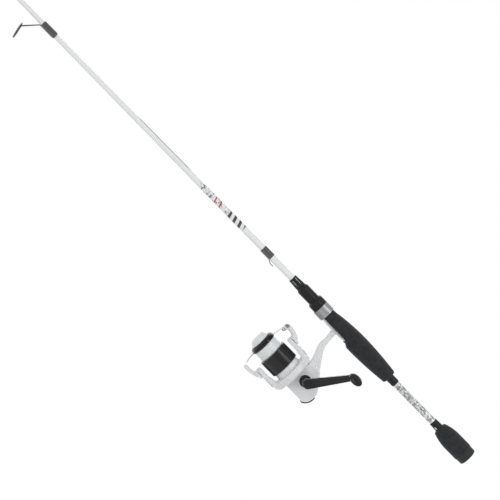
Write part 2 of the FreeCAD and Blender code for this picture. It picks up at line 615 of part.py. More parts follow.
def make_reel_body():
    body = new_body("reel_casting", SPOOL_LINE)
    pad(body, "XZ_Plane", gearbox_outline(), "2 * body_half", both=True)
    revolve(body, [("body_front", "0"), ("body_front", "flange_radius"),
                   ("flange_front - 0.6", "flange_radius"),
                   ("flange_front", "flange_radius - 0.6"), ("flange_front", "boss_radius"),
                   ("flange_front + 2.3", "boss_radius"), ("flange_front + 2.3", "0")])
    pad(body, "XZ_Plane", [
        ("handle_x - 8", "19"), ("handle_x - 8", "24.2"), ("handle_x + 7.6", "45.2"),
        ("handle_x + 13.1", "57.5", "-60"), ("handle_x + 14.4", f"{FOOT_TOP} - 2.6"),
        ("handle_x + 23.3", f"{FOOT_TOP} - 2.6"), ("handle_x + 20.6", "58", "-40"), ("handle_x + 20.0",
                                                                                     "49", "60"),
        ("handle_x + 14.4", "36"), ("body_front - 0.3", "30"), ("body_front - 0.3", "19")],
        "2 * stem_half", both=True)
    pad(body, "XZ_Plane", [
        ("foot_start", FOOT_TOP), (FOOT_END, FOOT_TOP), (FOOT_END, f"{FOOT_TOP} - toe_thick"),
        ("hood_start - 0.6", f"{FOOT_TOP} - toe_thick"), ("handle_x + 26", f"{FOOT_TOP} - foot_thick",
                                                          "40"),
        ("handle_x + 11", f"{FOOT_TOP} - foot_thick"), ("cradle_start + 0.6", f"{FOOT_TOP} - toe_thick",
                                                        "30"),
        ("foot_start", f"{FOOT_TOP} - toe_thick")], "2 * foot_half", both=True)
    pad(body, "XZ_Plane", gearbox_outline("body_wall"), "2 * (body_half - body_wall)", both=True,
        cutting=True)
    revolve(body, [("body_front + body_wall", "0"), ("body_front + body_wall", "flange_radius - 2.1"),
                   ("flange_front - 1.9", "flange_radius - 2.1"), ("flange_front - 1.9",
                                                                   "0")], cutting=True)
    boss = post("handle_x", "handle_rise", "boss_radius", "body_half - 2.4", "bearing_seat")
    posts = [post(x_place, z_place, "2.1", "-body_half + 1.2", "body_half - 0.5") for x_place,
             z_place in COVER_SCREWS]
    axle = post("handle_x - osc_back", OSC_RISE, "1.5", "3.2", "body_half - 0.5")
    throat = block(("body_front - 0.2", "-8.6", "-13 - spool_drop"), ("body_wall + 0.4", "17.2", "31.4"))
    open_side = block(("handle_x - 40", "-body_half - 1", "-19 - spool_drop"),
                      ("body_front - handle_x + 40 + 0.001",
                                                                               "1 + body_wall", "47"))
    solid = combined("MultiFuse", body, [boss, axle] + posts)
    cuts = [throat, open_side,
            cylinder("bearing_outer", "20", ("flange_front - 1.9", "0", "-spool_drop")),
            post("handle_x", "handle_rise", "drive_shaft_radius + bearing_wall + glue_gap", "0",
                 "bearing_seat + 1")]
    cuts += [post(x_place, z_place, "screw_radius", "-body_half - 1", "-body_half + 8") for x_place,
             z_place in COVER_SCREWS]
    return combined("Cut", solid, cuts)


OSC_RISE = ("handle_rise - sqrt((osc_module * (osc_pinion_teeth + osc_gear_teeth) / 2)"
            " * (osc_module * (osc_pinion_teeth + osc_gear_teeth) / 2) - osc_back * osc_back)")
keep(make_reel_body(), "reel_body")


def make_side_cover():
    body = new_body("cover_plate", SPOOL_LINE)
    pad(body, "XZ_Plane", gearbox_outline(), "2 * body_half", both=True)
    inner = block(("handle_x - 60", "-body_half + body_wall - run_gap", "-40 - spool_drop"),
                  ("120", "2 * body_half + 2", "90"))
    boss = post("handle_x", "handle_rise", "boss_radius", "-bearing_seat",
                "-body_half + body_wall - run_gap")
    plate = combined("MultiFuse", combined("Cut", body, [inner]), [boss])
    bore = post("handle_x", "handle_rise", "drive_shaft_radius + bearing_wall + glue_gap",
                "-bearing_seat", "-body_half + body_wall + 1")
    holes = [post(x_place, z_place, "screw_radius + 0.15", "-body_half - 1", "-body_half + 3")
             for x_place, z_place in COVER_SCREWS]
    return combined("Cut", plate, [bore] + holes)


keep(make_side_cover(), "side_cover")

screws = []
for x_place, z_place in COVER_SCREWS:
    shank = post(x_place, z_place, "screw_radius - glue_gap", "-body_half - 0.2", "-body_half + 7")
    head = post(x_place, z_place, "1.9", "-body_half - 0.95", "-body_half")
    slot = block((f"{x_place} - 0.7", "-body_half - 1.2", f"{z_place} - 0.7 - spool_drop"),
                 ("1.4", "0.8", "1.4"))
    screws.append(combined("Cut", combined("MultiFuse", shank, [head]), [slot]))
group("cover_screws", screws)


rear = new_body("rear_cap_body", SPOOL_LINE)
pad(rear, "XZ_Plane", [
    ("body_front - 29.4", "-17.25", "-14.05"), ("body_front - 29.8", "-18.6"),
    ("body_front - 38.2", "-1.6", "15.4"), ("body_front - 36.85", "-2")], "2 * (body_half - 1)", both=True)
keep(rear, "rear_cap")


def ball_bearing(label, inner, outer, width, at, axis):
    """Two races with a ring of balls between them, closed as one piece."""
    middle = f"({inner} + {outer}) / 2"
    return turned(label, [
        ("0", f"{inner}"), ("0", f"{middle} - 0.5"), ("0.3", f"{middle} - 0.45"), ("0.3",
                                                                                   f"{middle} + 0.45"),
        ("0", f"{middle} + 0.5"), ("0", f"{outer}"), (f"{width}", f"{outer}"), (f"{width}",
                                                                                f"{middle} + 0.5"),
        (f"{width} - 0.3", f"{middle} + 0.45"), (f"{width} - 0.3", f"{middle} - 0.45"),
        (f"{width}", f"{middle} - 0.5"), (f"{width}", f"{inner}")], at, axis)


keep(ball_bearing("front_bearing", "pinion_radius + run_gap", "bearing_outer - glue_gap", "4",
                  ("flange_front - 1.7", "0", "-spool_drop"), "X"), "pinion_bearing")
SHAFT_SEAT = "drive_shaft_radius + bearing_wall"
drive_bearings = [
    ball_bearing("bearing_left", "drive_shaft_radius + run_gap", SHAFT_SEAT, "bearing_width",
                 ("handle_x", "-bearing_seat + 0.6", "handle_rise - spool_drop"), "Y"),
    ball_bearing("bearing_right", "drive_shaft_radius + run_gap", SHAFT_SEAT, "bearing_width",
                 ("handle_x", "bearing_seat - 0.6 - bearing_width", "handle_rise - spool_drop"), "Y")]
group("drive_bearings", drive_bearings)

keep(turned("shaft_cap", [
    ("-bearing_seat - 2.2", "0"), ("-bearing_seat - 2.2", "boss_radius - 2.2"),
    ("-bearing_seat - 0.9", "boss_radius - 0.3", "1.6"), ("-bearing_seat - run_gap", "boss_radius - 0.2"),
    ("-bearing_seat - run_gap", "0")], HANDLE_LINE, "Y"), "shaft_cap")


# ---------------------------------------------------------------- reel: gear train
MESH_X = "gear_module * gear_teeth / 2"


def gear_outline(teeth, module, tip, root, thick):
    """Straight-flanked teeth in the XY plane, the first tooth centred on +X."""
    pitch = module * teeth / 2
    points = []
    for tooth in range(teeth):
        centre = math.tau * tooth / teeth
        for radius, half in ((root, thick / 2 + (pitch - root) * 0.36),
                             (tip, thick / 2 - (tip - pitch) * 0.36)):
            points.append((radius, centre - half / radius))
        for radius, half in ((tip, thick / 2 - (tip - pitch) * 0.36),
                             (root, thick / 2 + (pitch - root) * 0.36)):
            points.append((radius, centre + half / radius))
    corners = [Vec(radius * math.cos(angle), radius * math.sin(angle), 0) for radius, angle in points]
    return Part.Face(Part.makePolygon(corners + corners[:1]))


def make_pinion():
    """Long pinion on the main shaft: teeth at the back, the rotor's seat in front."""
    module = val("gear_module")
    pitch = module * val("pinion_teeth") / 2
    teeth = gear_outline(int(val("pinion_teeth")), module, pitch + 0.85 * module, pitch - 1.1 * module,
                         1.02 * module)
    start = val(f"handle_x + {MESH_X} - face_width / 2 - 0.5")
    length = val("face_width") + 1.0
    solid = teeth.extrude(Vec(0, 0, length))
    neck = Part.makeCylinder(val("pinion_radius"), val("cup_front") - 8 - start - length, Vec(0, 0, length))
    solid = solid.fuse(neck)
    solid = solid.cut(Part.makeCylinder(val("main_shaft_radius + run_gap"), 80, Vec(0, 0, -5)))
    # the teeth's own +X turns to -Y, where the gear's face is
    turn = FreeCAD.Rotation(Vec(0, -1, 0), Vec(0, 0, -1), Vec(1, 0, 0), "ZXY")
    solid.Placement = FreeCAD.Placement(Vec(start, 0, -val("spool_drop")), turn)
    return solid


feature("pinion_gear", make_pinion())


def make_drive_gear():
    """Face gear: slots cut across its face run straight at the pinion, below its axis."""
    module = val("gear_module")
    pitch_plane = -module * val("pinion_teeth") / 2
    tip = pitch_plane + module
    root = pitch_plane - 1.35 * module
    inner = val(f"{MESH_X} - face_width / 2")
    outer = val(f"{MESH_X} + face_width / 2 + 0.5")
    back = root - val("gear_web")
    up = Vec(0, 1, 0)
    disc = Part.makeCylinder(outer, root - back, Vec(0, back, 0), up)
    rim = Part.makeCylinder(outer, tip - root, Vec(0, root, 0), up)
    rim = rim.cut(Part.makeCylinder(inner - 0.2, tip - root, Vec(0, root, 0), up))
    hub = Part.makeCylinder(val("drive_shaft_radius") + 2, back + val("bearing_seat") - 3.2,
                            Vec(0, -val("bearing_seat") + 3.2, 0), up)
    teeth = int(val("gear_teeth"))
    offset = -val("handle_rise")
    profile = [(0.58, root), (1.1, pitch_plane), (1.58, tip + 0.3)]
    corners = [Vec(inner - 3, y, offset - half * module) for half, y in profile]
    corners += [Vec(inner - 3, y, offset + half * module) for half, y in reversed(profile)]
    tool = Part.Face(Part.makePolygon(corners + corners[:1])).extrude(Vec(outer - inner + 6, 0, 0))
    slots = []
    for tooth in range(teeth):
        slot = tool.copy()
        slot.rotate(Vec(), up, 360.0 * tooth / teeth)
        slots.append(slot)
    rim = rim.cut(slots)
    solid = disc.fuse([rim, hub])
    solid = solid.cut(Part.makeCylinder(val("drive_shaft_radius + glue_gap"), 40, Vec(0, -20, 0), up))
    holes = []
    for index in range(6):
        angle = math.tau * index / 6
        holes.append(Part.makeCylinder(2.0, 8, Vec(9 * math.cos(angle), back - 1, 9 * math.sin(angle)), up))
    solid = solid.cut(holes)
    solid.translate(Vec(val("handle_x"), 0, val("handle_rise - spool_drop")))
    return solid


feature("drive_gear", make_drive_gear())

OSC_START = "3.0"


def osc_place():
    return Vec(val("handle_x - osc_back"), 0, val(f"{OSC_RISE} - spool_drop"))


def spur(teeth, thick, centre, toward, on_tooth, low, high):
    """A spur gear about Y with a tooth, or a gap, pointing along a direction in XZ."""
    module = val("osc_module")
    pitch = module * teeth / 2
    face = gear_outline(teeth, module, pitch + 0.8 * module, pitch - 1.1 * module, thick * module)
    solid = face.extrude(Vec(0, 0, high - low))
    angle = math.degrees(math.atan2(toward.z, toward.x)) + (0 if on_tooth else 180.0 / teeth)
    # gear XY plane to the XZ plane: its +X stays +X, its +Y becomes +Z, its +Z becomes -Y
    solid.rotate(Vec(), Vec(0, 0, 1), angle)
    solid.rotate(Vec(), Vec(1, 0, 0), 90)
    solid.translate(centre + Vec(0, high, 0))
    return solid


def make_osc_gear():
    centre = osc_place()
    shaft = Vec(val("handle_x"), 0, val("handle_rise - spool_drop"))
    low = val(OSC_START)
    gear = spur(int(val("osc_gear_teeth")), 1.25, centre, shaft - centre, False, low,
                low + val("osc_width"))
    pin = Part.makeCylinder(1.2, 0.5, centre + Vec(0, low - 0.4, -val("crank_pin_arm")), Vec(0, 1, 0))
    bore = Part.makeCylinder(1.5 + val("run_gap"), 10, centre, Vec(0, 1, 0))
    return gear.fuse(pin).cut(bore)


feature("osc_gear", make_osc_gear())


def make_drive_shaft():
    """The shaft through both bearings, with the small pinion that turns the oscillation gear."""
    up = Vec(0, 1, 0)
    centre = Vec(val("handle_x"), 0, val("handle_rise - spool_drop"))
    start = -val("bearing_seat") + 0.3
    shaft = Part.makeCylinder(val("drive_shaft_radius"), val("bearing_seat") + 0.3 - start,
                              centre + Vec(0, start, 0), up)
    low = val(OSC_START)
    small = spur(int(val("osc_pinion_teeth")), 1.25, centre, osc_place() - centre, True, low,
                 low + val("osc_width"))
    return shaft.fuse(small).removeSplitter()


feature("drive_shaft", make_drive_shaft())

SHAFT_FRONT = "knob_front - 2.2"
keep(turned("main_shaft", [
    ("handle_x - osc_back - 2.4", "0"), ("handle_x - osc_back - 2.4", "main_shaft_radius"),
    ("cup_front + 1.5", "main_shaft_radius"), ("cup_front + 1.5", "4"), ("cup_front + 3.5", "4"),
    ("cup_front + 3.5", "main_shaft_radius"), (SHAFT_FRONT, "main_shaft_radius"), (SHAFT_FRONT, "0")],
    SPOOL_LINE), "main_shaft")


def make_slider():
    """The block on the shaft's end, with the cross slot that the crank pin works in."""
    body = block(("handle_x - osc_back - 3.6", "-slider_half", "-7.4 - spool_drop"),
                 ("7.2", "2 * slider_half", "12.6"))
    slot = block(("handle_x - osc_back - 1.4", "slider_half - 0.3", "-6.8 - spool_drop"),
                 ("2.8", "1", "11.2"))
    bore = cylinder("main_shaft_radius + glue_gap", "10", ("handle_x - osc_back - 2.4", "0", "-spool_drop"))
    guide = cylinder("1", "12", ("handle_x - osc_back - 5", "0", "-5.4 - spool_drop"))
    return combined("Cut", body, [slot, bore, guide])


keep(make_slider(), "slider")


# ---------------------------------------------------------------- reel: rotor
def make_rotor():
    rotor = new_body("rotor_cup", SPOOL_LINE)
    revolve(rotor, [
        ("rotor_rear", "flange_radius + 0.45"), ("rotor_rear", "rotor_radius - 1.2"),
        ("rotor_rear + 3", "rotor_radius", "5"), ("rotor_web - 1", "rotor_radius"),
        ("rotor_web", "rotor_radius - 1"), ("rotor_web", "cup_radius"), ("cup_front", "cup_radius"),
        ("cup_front", "cup_radius - 1.5"), ("rotor_web + 3", "cup_radius - 1.5"),
        ("rotor_web + 3", "pinion_radius + glue_gap"), ("flange_front + 2.7", "pinion_radius + glue_gap"),
        ("flange_front + 2.7", "boss_radius + 0.6"), ("flange_front + 0.4", "boss_radius + 1.8"),
        ("flange_front + 0.4", "flange_radius + 0.45")])
    arms = []
    for side in ("1", "-1"):
        ring = new_body("arm_shell", SPOOL_LINE)
        revolve(ring, [
            ("rotor_rear + 0.2", "rotor_radius - 1"), ("rotor_rear + 0.2", "arm_radius - 5"),
            ("rotor_rear + 5", "arm_radius - 0.4", "7"), ("bail_x - 16", "arm_radius"),
            ("bail_x + arm_half", "arm_radius"), ("bail_x + arm_half", "arm_inner"),
            ("rotor_web + 1.4", "arm_inner"), ("rotor_web", "rotor_radius - 0.6", "1.6"),
            ("rotor_web", "rotor_radius - 1")])
        # the arm's plan: broad at the cup, then straight sides and a round end at the bail's pivot
        plan = new_body("arm_plan", ("0", "0", f"-spool_drop"))
        pad(plan, "XY_Plane", [
            ("rotor_rear", "-arm_half - 6"), ("rotor_web", "-arm_half - 4"), ("bail_x - 12", "-arm_half",
                                                                              "-30"),
            ("bail_x", "-arm_half"), ("bail_x + arm_half", "0", "-arm_half"), ("bail_x", "arm_half",
                                                                               "-arm_half"),
            ("bail_x - 12", "arm_half"), ("rotor_web", "arm_half + 4", "-30"), ("rotor_rear",
                                                                                "arm_half + 6")],
            "arm_radius + 2", reverse=side == "-1")
        arms.append(combined("MultiCommon", ring, [plan]))
    pin_holes = cylinder("bail_pin_radius + run_gap", "4.5",
                         ("bail_x", "0", "arm_radius - 3.8 - spool_drop"), "Z")
    low_holes = cylinder("bail_pin_radius + run_gap", "4.5",
                         ("bail_x", "0", "-arm_radius - 0.7 - spool_drop"), "Z")
    spring_room = cylinder("3.6", "4.5", ("bail_x - 14", "0", "-arm_radius - 0.7 - spool_drop"), "Z")
    return combined("Cut", combined("MultiFuse", rotor, arms), [pin_holes, low_holes, spring_room])


keep(make_rotor(), "rotor")

keep(turned("rotor_nut", [
    ("rotor_web + 3 + glue_gap", "pinion_radius + glue_gap"), ("rotor_web + 3 + glue_gap", "6"),
    ("rotor_web + 5.6", "6"), ("rotor_web + 6", "5.4"), ("rotor_web + 6", "pinion_radius + glue_gap")],
    SPOOL_LINE), "rotor_nut")


def make_arm_cover(side):
    """Thin curved cover on the outside of a rotor arm."""
    ring = new_body("cover_shell", SPOOL_LINE)
    revolve(ring, [("bail_x - 25", "arm_radius + glue_gap"), ("bail_x - 25", "arm_radius + 0.3"),
                   ("bail_x - 22", "arm_radius + 0.9"), ("bail_x - 9", "arm_radius + 0.9"),
                   ("bail_x - 7.4", "arm_radius + 0.3"), ("bail_x - 7.4", "arm_radius + glue_gap")])
    plan = new_body("cover_plan", SPOOL_LINE)
    pad(plan, "XY_Plane", [
        ("bail_x - 25", "-arm_half + 2"), ("bail_x - 23", "-arm_half + 0.8"), ("bail_x - 7",
                                                                               "-arm_half + 0.8"),
        ("bail_x - 7", "arm_half - 0.8"), ("bail_x - 23", "arm_half - 0.8"), ("bail_x - 25",
                                                                              "arm_half - 2")],
        "arm_radius + 4", reverse=side == "-1")
    return combined("MultiCommon", ring, [plan])


group("arm_covers", [make_arm_cover("1"), make_arm_cover("-1")])


def make_bail_spring():
    """A small coil spring lying in its room in the far rotor arm."""
    centre = Vec(val("bail_x - 14"), 0, -val("arm_radius") - val("spool_drop"))
    coils = [Part.makeTorus(2.7, 0.5, centre + Vec(0, 0, 0.9 + 0.8 * turn)) for turn in range(3)]
    return coils[0].fuse(coils[1:])


feature("bail_spring", make_bail_spring())

# ---------------------------------------------------------------- reel: bail
AXLE_WAY = Vec(0, -0.716, -0.698).normalize()


def bail_point(along, side, rise):
    return Vec(val("bail_x") + along, side, rise - val("spool_drop"))


ROLLER_START = bail_point(val("bail_reach"), val("roller_side"), val("roller_rise"))


def make_bail_arm():
    """Roller arm: a hub on the rotor arm, a curved limb and the boss for the roller screw."""
    base = val("arm_radius + free_gap")
    hub = bar(bail_point(0, 0, base), bail_point(0, 0, base + val("bail_hub")), 7.0)
    pin = bar(bail_point(0, 0, base - 3.4), bail_point(0, 0, base), val("bail_pin_radius"))
    limb = swept([bail_point(0, 0, base + val("bail_tube")), bail_point(9, 2.5, base + 6.6),
                  bail_point(val("bail_reach") - 1, val("roller_side") - 0.4, val("roller_rise") + 0.6)],
                 val("bail_tube"))
    # round ends, so that the limb runs out of the hub and into the boss as one casting
    limb = limb.fuse([Part.makeSphere(val("bail_tube"), bail_point(0, 0, base + val("bail_tube"))),
                      Part.makeSphere(val("bail_tube"),
                                      bail_point(val("bail_reach") - 1, val("roller_side") - 0.4,
                                                                   val("roller_rise") + 0.6))])
    trim = Part.makeBox(60, 40, 20, bail_point(-30, -20, base - 20))
    boss = bar(ROLLER_START + AXLE_WAY * 0.2, ROLLER_START + AXLE_WAY * 3.2, 3.9)
    clear = bar(ROLLER_START + AXLE_WAY * 3.2, ROLLER_START + AXLE_WAY * 14, 6.5)
    hole = bar(ROLLER_START - AXLE_WAY * 8, ROLLER_START + AXLE_WAY * 6, 1.25)
    sink = bar(ROLLER_START - AXLE_WAY * 8, ROLLER_START + AXLE_WAY * 0.9, 2.75)
    solid = hub.fuse([limb.cut(trim), boss]).cut(clear).cut(hole).cut(sink)
    return solid.fuse(pin).removeSplitter()


feature("bail_arm", make_bail_arm())


def make_roller_screw():
    head = bar(ROLLER_START - AXLE_WAY * 0.5, ROLLER_START + AXLE_WAY * 0.85, 2.5)
    shank = bar(ROLLER_START + AXLE_WAY * 0.8, ROLLER_START + AXLE_WAY * 9.5, 1.2)
    socket = bar(ROLLER_START - AXLE_WAY * 0.8, ROLLER_START + AXLE_WAY * 0.3, 0.9)
    return head.fuse(shank).cut(socket)


feature("roller_screw", make_roller_screw())


def make_roller():
    """Line roller: a hard ring with a shallow groove that turns on the screw."""
    radius = val("roller_radius")
    length = val("roller_length")
    bore = 1.2 + val("run_gap")
    points = [Vec(bore, 0, 0), Vec(radius, 0, 0), Vec(radius, 0, 0.7), Vec(radius - 0.9, 0, length * 0.45),
              Vec(radius - 0.9, 0, length * 0.6), Vec(radius - 0.1, 0, length - 0.5), Vec(radius - 0.1, 0,
                                                                                          length),
              Vec(bore, 0, length)]
    ring = Part.Face(Part.makePolygon(points + points[:1])).revolve(Vec(), Vec(0, 0, 1), 360)
    ring.Placement = FreeCAD.Placement(ROLLER_START + AXLE_WAY * 3.5,
                                       FreeCAD.Rotation(Vec(0, 0, 1), AXLE_WAY))
    return ring


feature("line_roller", make_roller())


def make_bail_wire():
    """The wire loop behind the spool, with the cone that leads line to the roller."""
    reach = val("bail_reach")
    loop = val("bail_loop")
    radius = val("bail_wire_radius")
    inner = ROLLER_START + AXLE_WAY * (3.5 + val("roller_length") + 0.3)
    top = bail_point(reach, -3.0, loop - 2)
    mid = bail_point(reach, -3.0 - loop, -2)
    low = bail_point(reach, -3.0, -loop - 2)
    wire = swept([top, mid, low], radius)
    cone = bar(inner, inner + AXLE_WAY * 1.6, 3.1, 2.8)
    heart = inner + AXLE_WAY * 1.2
    taper = bar(heart, top + Vec(0, -3.6, -0.2), 2.5, radius + 0.15)
    hole = bar(inner - AXLE_WAY, inner + AXLE_WAY * 1.9, 1.22)
    roller_room = bar(inner - AXLE_WAY * (val("roller_length") + 0.4), inner, 4.5)
    return wire.fuse([cone, taper]).cut(roller_room).cut(hole)


feature("bail_wire", make_bail_wire())


def make_bail_holder():
    """Far-side bail holder: a hub on the other rotor arm and the limb that grips the wire."""
    base = -val("arm_radius + free_gap")
    hub = bar(bail_point(0, 0, base), bail_point(0, 0, base - val("bail_hub")), 6.4)
    pin = bar(bail_point(0, 0, base + 3.4), bail_point(0, 0, base), val("bail_pin_radius"))
    limb = swept([bail_point(0, 0, base - 2.6), bail_point(9, -0.6, base - 5.2),
                  bail_point(val("bail_reach") - 0.5, -2.0, -val("bail_loop") - 2.2)], 2.6)
    limb = limb.fuse([Part.makeSphere(2.6, bail_point(0, 0, base - 2.6)),
                      Part.makeSphere(2.6, bail_point(val("bail_reach") - 0.5, -2.0,
                                                      -val("bail_loop") - 2.2))])
    trim = Part.makeBox(60, 40, 20, bail_point(-30, -20, base))
    solid = hub.fuse([limb.cut(trim)]).fuse(pin)
    wire_room = swept([bail_point(val("bail_reach"), -3.0, val("bail_loop") - 2),
                       bail_point(val("bail_reach"), -3.0 - val("bail_loop"), -2),
                       bail_point(val("bail_reach"), -3.0, -val("bail_loop") - 2)],
                      val("bail_wire_radius + glue_gap"))
    return solid.cut(wire_room).removeSplitter()


feature("bail_holder", make_bail_holder())

# ---------------------------------------------------------------- reel: spool and drag
keep(turned("spool", [
    ("spool_rear", "skirt_radius - skirt_wall"), ("spool_rear", "skirt_radius - 0.5"),
    ("spool_rear + 0.6", "skirt_radius"), ("skirt_front - 0.6",
                                           "skirt_radius"), ("skirt_front", "skirt_radius - 0.6"),
    ("skirt_front", "arbor_radius"), ("lip_start", "arbor_radius"), ("lip_start", "lip_radius - 0.4"),
    ("lip_start + 0.6", "lip_radius"), ("lip_start + 2.4", "lip_radius"), ("lip_start + 2.8",
                                                                           "lip_radius - 0.9"),
    ("lip_start + 3.4", "lip_radius - 0.9"), ("lip_start + 3.8", "lip_radius - 0.2"),
    ("spool_front - 0.6", "lip_radius - 1.6"), ("spool_front", "lip_radius - 2.6"),
    ("spool_front", "drag_pocket"), ("lip_start - 4.4", "drag_pocket"),
    ("lip_start - 4.4", "main_shaft_radius + run_gap"), ("cup_front + 3.7", "main_shaft_radius + run_gap"),
    ("cup_front + 3.7", "5"), ("skirt_front - 2.2", "5.4"), ("skirt_front - 2.2",
                                                             "skirt_radius - skirt_wall")],
    SPOOL_LINE), "spool")

keep(turned("line_pack", [
    ("skirt_front", "arbor_radius + glue_gap"), ("skirt_front", "line_radius - 0.5"),
    ("skirt_front + 1.2", "line_radius"), ("lip_start - 0.6",
                                           "line_radius - 0.2"), ("lip_start", "line_radius - 0.7"),
    ("lip_start", "arbor_radius + glue_gap")], SPOOL_LINE), "line_pack")

washers = []
for number in range(3):
    start = f"lip_start - 4.3 + {number} * 1.1"
    washers.append(turned("washer", tube("drag_pocket - free_gap", "main_shaft_radius + 0.15", start,
                                         f"{start} + 1.0"),
                          SPOOL_LINE))
group("drag_washers", washers)

keep(turned("washer_clip",
            tube("drag_pocket - run_gap", "drag_pocket - 1.1", "lip_start - 0.9", "lip_start - 0.2"),
            SPOOL_LINE), "washer_clip")


def make_drag_spring():
    coils = []
    for turn in range(4):
        centre = Vec(val("spool_front") - 3.6 + 0.85 * turn, 0, -val("spool_drop"))
        coils.append(Part.makeTorus(3.2, 0.5, centre, Vec(1, 0, 0)))
    return coils[0].fuse(coils[1:])


feature("drag_spring", make_drag_spring())

KNOB_REAR = "spool_front + free_gap"
knob = turned("knob_cup", [
    ("lip_start + 0.4", "drag_pocket - 3"), ("lip_start + 0.4", "drag_pocket - free_gap - 0.3"),
    (KNOB_REAR, "drag_pocket - free_gap - 0.3"), (KNOB_REAR, "knob_radius - 0.6"),
    (f"{KNOB_REAR} + 0.6", "knob_radius"), ("knob_front - 1.6", "knob_radius - 2.6"),
    ("knob_front", "knob_radius - 4.4", "2.2"), ("knob_front", "0"), ("knob_front - 1", "0"),
    ("knob_front - 1", "2.4"), ("knob_front - 2.6", "2.4"), ("knob_front - 2.6",
                                                             "drag_pocket - 3")], SPOOL_LINE)
knob_grooves = []
for number in range(16):
    angle = math.tau * (number + 0.5) / 16
    groove = cylinder("0.9", "5.4", (KNOB_REAR, "0", "0"))
    groove.setExpression(".Placement.Base.y", bound(f"(knob_radius + 0.35) * {math.sin(angle):.6f}"))
    groove.setExpression(".Placement.Base.z",
                         bound(f"(knob_radius + 0.35) * {math.cos(angle):.6f} - spool_drop"))
    knob_grooves.append(groove)
keep(combined("Cut", knob, knob_grooves), "drag_knob")

keep(turned("drag_nut",
            tube("drag_pocket - 3 - glue_gap", "main_shaft_radius + run_gap", "knob_front - 5.2",
                             "knob_front - 2.8"), SPOOL_LINE), "drag_nut")

# ---------------------------------------------------------------- reel: handle
CRANK_TURN = FreeCAD.Rotation(Vec(0, 1, 0), -val("crank_angle"))


def on_crank(shape):
    """Move a shape from crank coordinates (out along the arm, Y, across) to its place."""
    shape.Placement = FreeCAD.Placement(Vec(val("handle_x"), 0, val("handle_rise - spool_drop")),
                                        CRANK_TURN)
    return shape


def flat_bar(side_points, plan_points):
    """What a side view (out, Y) and a plan (out, across) have in common."""
    side = [Vec(out, up, -30) for out, up in side_points]
    plan = [Vec(out, -10, across) for out, across in plan_points]
    upright = Part.Face(Part.makePolygon(side + side[:1])).extrude(Vec(0, 0, 60))
    flat = Part.Face(Part.makePolygon(plan + plan[:1])).extrude(Vec(0, 120, 0))
    return upright.common(flat)


def round_end(centre, radius, start, end, steps=16):
    """Points on an arc of a plan, from one angle to another in degrees."""
    angles = [math.radians(start + (end - start) * step / steps) for step in range(steps + 1)]
    return [(centre + radius * math.cos(angle), radius * math.sin(angle)) for angle in angles]


def make_hub():
    """Handle shank with its dust ring and the fork that the arm folds in."""
    up = Vec(0, 1, 0)
    plane = val("crank_plane")
    half = val("crank_thick") / 2
    fold = val("fold_offset")
    wide = val("crank_width") / 2 + 1
    ring = Part.makeCylinder(val("hub_radius"), 3.6, Vec(0, val("bearing_seat") + 0.4, 0), up)
    shank = Part.makeCylinder(val("shank_radius"), plane - val("bearing_seat") - 0.4,
                              Vec(0, val("bearing_seat") + 0.4, 0), up)
    head = flat_bar([(-9, plane - half - 0.6), (fold + 3, plane - half), (fold + 3, plane + half),
                     (-9, plane + half + 0.6)],
                    round_end(0, wide + 1, 90, 270) + [(fold, -wide), (fold + 2.9, -wide),
                                                       (fold + 2.9, wide), (fold, wide)])
    room = Part.makeBox(12, 30, 2 * (wide - 2) + 0.6, Vec(fold - 2.9, plane - 15, -(wide - 2) - 0.3))
    pin_hole = Part.makeCylinder(1.25, 40, Vec(fold, plane, -20))
    return on_crank(ring.fuse([shank, head]).cut(room).cut(pin_hole).removeSplitter())


feature("handle_hub", make_hub())


def make_crank():
    plane = val("crank_plane")
    half = val("crank_thick") / 2
    fold = val("fold_offset")
    reach = val("crank_radius")
    rise = val("crank_rise")
    wide = val("crank_width") / 2
    end = wide + 0.9
    start = fold + 3.4
    arm = flat_bar([(start, plane - half), (reach - 9, plane + rise - half),
                    (reach + 9, plane + rise - half),
                    (reach + 9, plane + rise + half), (reach - 9,
                                                       plane + rise + half), (start, plane + half)],
                   [(start, -wide - 0.6), (reach - 8, -wide + 0.6)] + round_end(reach, end, -120, 120)
                   + [(reach - 8, wide - 0.6), (start, wide + 0.6)])
    lug = Part.makeCylinder(half, 2 * (wide - 1) - 0.2, Vec(fold, plane, -(wide - 1) + 0.1))
    neck = Part.makeBox(start - fold + 0.5, 2 * half, 2 * (wide - 1) - 0.2,
                        Vec(fold, plane - half, -(wide - 1) + 0.1))
    bore = Part.makeCylinder(1.25, 40, Vec(fold, plane, -20))
    seat = Part.makeCylinder(val("spindle_radius + glue_gap"), 40, Vec(reach, plane, 0), Vec(0, 1, 0))
    return on_crank(arm.fuse([lug, neck]).cut(bore).cut(seat).removeSplitter())


feature("crank_arm", make_crank())
pin_half = val("crank_width") / 2 + 1
feature("fold_pin", on_crank(Part.makeCylinder(1.2, 2 * pin_half, Vec(val("fold_offset"),
                                                                      val("crank_plane"), -pin_half))))

KNOB_START = val("crank_plane + crank_rise + crank_thick / 2 + free_gap")


def make_spindle():
    up = Vec(0, 1, 0)
    radius = val("spindle_radius")
    low = val("crank_plane + crank_rise - crank_thick / 2")
    high = KNOB_START + val("knob_length")
    out = val("crank_radius")
    rod = Part.makeCylinder(radius, high - low - 1.0, Vec(out, low, 0), up)
    head = Part.makeCylinder(radius + 1.2, 1.2, Vec(out, high - 2.2, 0), up)
    return on_crank(rod.fuse(head))


feature("knob_spindle", make_spindle())


